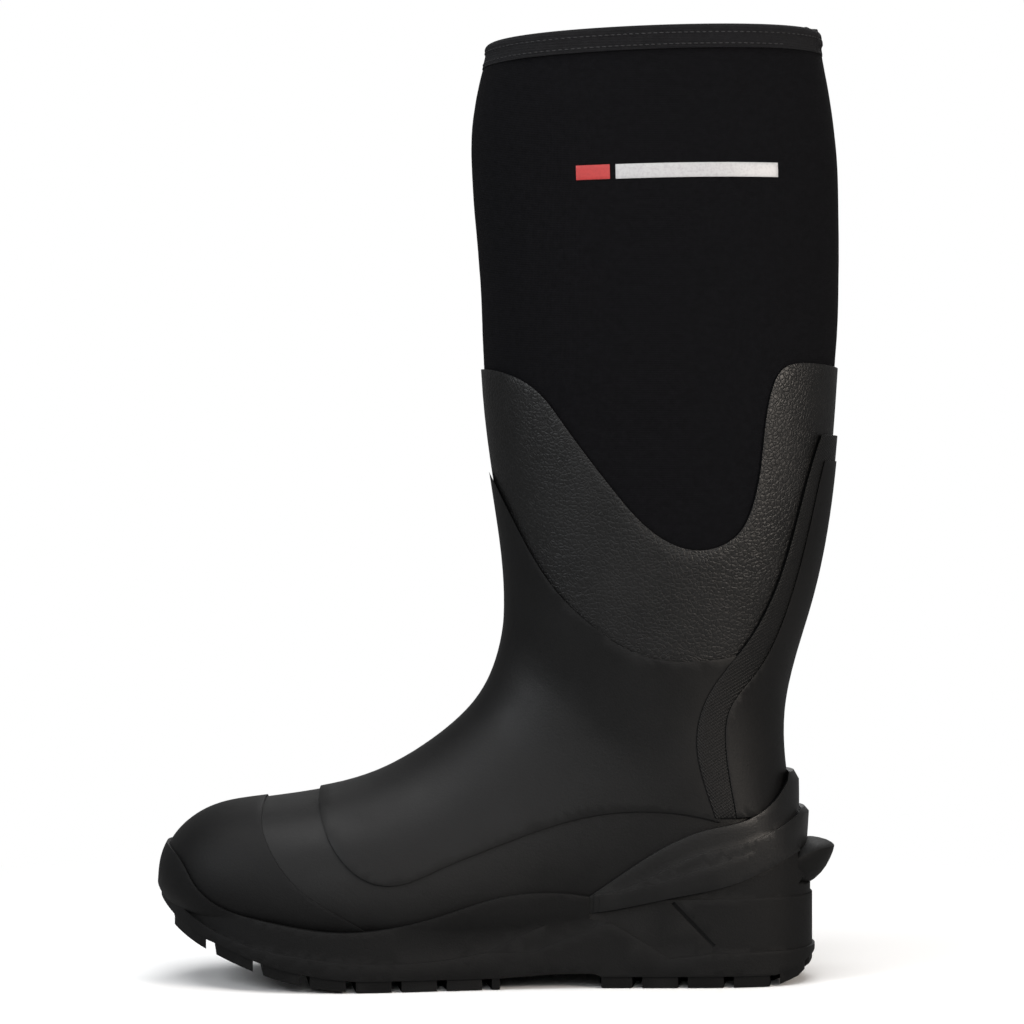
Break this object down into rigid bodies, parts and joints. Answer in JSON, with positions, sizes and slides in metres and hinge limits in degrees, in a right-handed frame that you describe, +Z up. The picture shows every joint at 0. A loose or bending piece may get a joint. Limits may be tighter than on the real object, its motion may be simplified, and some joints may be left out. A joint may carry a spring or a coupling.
{
  "type": "tall stable boot",
  "caption": "Knee-high stable and yard boot: a stretchy neoprene leg bound at its open top, standing in a layered rubber overshoe with fanned heel flares and a cleated outsole.",
  "frame": {"origin": "on the ground under the middle of the boot's overall box", "axes": "+Z up the leg, toe toward -X, heel toward +X, outer side of the foot toward -Y, inner side toward +Y"},
  "size_m": [0.3135, 0.1107, 0.4336],
  "materials": {
    "neoprene": "matte",
    "binding_tape": "matte",
    "seam_tape": "matte",
    "lining_cloth": "matte",
    "board": "matte",
    "stiffener_plastic": "matte",
    "spring_steel": "satin",
    "black_rubber": "satin",
    "grained_rubber": "satin",
    "ribbed_rubber": "satin",
    "sole_rubber": "matte",
    "eva_foam": "matte"
  },
  "bodies": {
    "boot": {"neoprene_bootie": "neoprene", "topline_binding": "binding_tape", "binding_end_tab": "binding_tape", "back_seam_tape": "seam_tape", "toe_puff": "stiffener_plastic", "insole_board": "board", "heel_stiffener": "stiffener_plastic", "mudguard": "black_rubber", "collar_panel": "grained_rubber", "foot_shell": "black_rubber", "toe_cap": "black_rubber", "ankle_strap": "ribbed_rubber", "back_guard": "black_rubber", "heel_counter": "black_rubber", "shank": "spring_steel", "midsole": "eva_foam", "outsole": "sole_rubber"},
    "footbed": {"footbed_foam": "eva_foam", "footbed_cover": "lining_cloth"}
  },
  "joints": [
    {"name": "footbed_lift", "type": "hinge", "parent": "boot", "child": "footbed", "pos_m": [-0.128, 0, 0.04], "axis": [0, -1, 0], "range_deg": [0, 10]}
  ]
}
